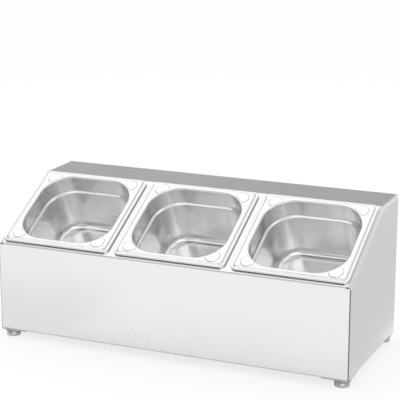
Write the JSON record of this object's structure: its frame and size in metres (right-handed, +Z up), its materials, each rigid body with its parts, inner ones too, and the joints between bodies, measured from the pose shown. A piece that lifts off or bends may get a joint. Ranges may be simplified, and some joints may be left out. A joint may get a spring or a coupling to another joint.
{
  "type": "gastronorm pan holder",
  "caption": "Free-standing counter holder of folded stainless sheet: a sloped deck carries a row of lift-out gastronorm pans below a flat back shelf, on screw-adjusted feet.",
  "frame": {"origin": "on the ground, under the middle of the housing's footprint", "axes": "+X along the row of pans, to the right seen from the front; +Y from the front panel to the back panel; +Z up"},
  "size_m": [0.556, 0.2252, 0.2296],
  "materials": {
    "housing_steel": "fine brushed",
    "pan_steel": "satin, drawn",
    "plate_steel": "mill finish",
    "stud_steel": "turned",
    "foot_steel": "satin plated",
    "pad_rubber": "matt"
  },
  "bodies": {
    "housing": {"deck_wrap": "housing_steel", "back_panel": "housing_steel", "side_panel_left": "housing_steel", "side_panel_right": "housing_steel", "corner_plate_front_left": "plate_steel", "corner_plate_front_right": "plate_steel", "corner_plate_back_left": "plate_steel", "corner_plate_back_right": "plate_steel", "weld_nut_front_left": "plate_steel", "weld_nut_front_right": "plate_steel", "weld_nut_back_left": "plate_steel", "weld_nut_back_right": "plate_steel"},
    "pan_left": {"pan_left": "pan_steel"},
    "pan_middle": {"pan_middle": "pan_steel"},
    "pan_right": {"pan_right": "pan_steel"},
    "foot_front_left": {"foot_base_front_left": "foot_steel", "foot_pad_front_left": "pad_rubber"},
    "stud_front_left": {"foot_stud_front_left": "stud_steel"},
    "foot_front_right": {"foot_base_front_right": "foot_steel", "foot_pad_front_right": "pad_rubber"},
    "stud_front_right": {"foot_stud_front_right": "stud_steel"},
    "foot_back_left": {"foot_base_back_left": "foot_steel", "foot_pad_back_left": "pad_rubber"},
    "stud_back_left": {"foot_stud_back_left": "stud_steel"},
    "foot_back_right": {"foot_base_back_right": "foot_steel", "foot_pad_back_right": "pad_rubber"},
    "stud_back_right": {"foot_stud_back_right": "stud_steel"}
  },
  "joints": [
    {"name": "pan_left_lift", "type": "slide", "parent": "housing", "child": "pan_left", "axis": [0, -0.4695, 0.8829], "range_m": [0, 0.12]},
    {"name": "pan_middle_lift", "type": "slide", "parent": "housing", "child": "pan_middle", "axis": [0, -0.4695, 0.8829], "range_m": [0, 0.12]},
    {"name": "pan_right_lift", "type": "slide", "parent": "housing", "child": "pan_right", "axis": [0, -0.4695, 0.8829], "range_m": [0, 0.12]},
    {"name": "foot_front_left_travel", "type": "slide", "parent": "housing", "child": "foot_front_left", "axis": [0, 0, -1], "range_m": [0, 0.006]},
    {"name": "foot_front_left_turn", "type": "hinge", "parent": "foot_front_left", "child": "stud_front_left", "pos_m": [-0.2648, -0.09941, 0], "axis": [0, 0, -1], "range_deg": [0, 2160]},
    {"name": "foot_front_right_travel", "type": "slide", "parent": "housing", "child": "foot_front_right", "axis": [0, 0, -1], "range_m": [0, 0.006]},
    {"name": "foot_front_right_turn", "type": "hinge", "parent": "foot_front_right", "child": "stud_front_right", "pos_m": [0.2648, -0.09941, 0], "axis": [0, 0, -1], "range_deg": [0, 2160]},
    {"name": "foot_back_left_travel", "type": "slide", "parent": "housing", "child": "foot_back_left", "axis": [0, 0, -1], "range_m": [0, 0.006]},
    {"name": "foot_back_left_turn", "type": "hinge", "parent": "foot_back_left", "child": "stud_back_left", "pos_m": [-0.2648, 0.09941, 0], "axis": [0, 0, -1], "range_deg": [0, 2160]},
    {"name": "foot_back_right_travel", "type": "slide", "parent": "housing", "child": "foot_back_right", "axis": [0, 0, -1], "range_m": [0, 0.006]},
    {"name": "foot_back_right_turn", "type": "hinge", "parent": "foot_back_right", "child": "stud_back_right", "pos_m": [0.2648, 0.09941, 0], "axis": [0, 0, -1], "range_deg": [0, 2160]}
  ],
  "couplings": [
    {"joint": "foot_front_left_turn", "follows": "foot_front_left_travel", "rad_per_m": 6283.2},
    {"joint": "foot_front_right_turn", "follows": "foot_front_right_travel", "rad_per_m": 6283.2},
    {"joint": "foot_back_left_turn", "follows": "foot_back_left_travel", "rad_per_m": 6283.2},
    {"joint": "foot_back_right_turn", "follows": "foot_back_right_travel", "rad_per_m": 6283.2}
  ]
}
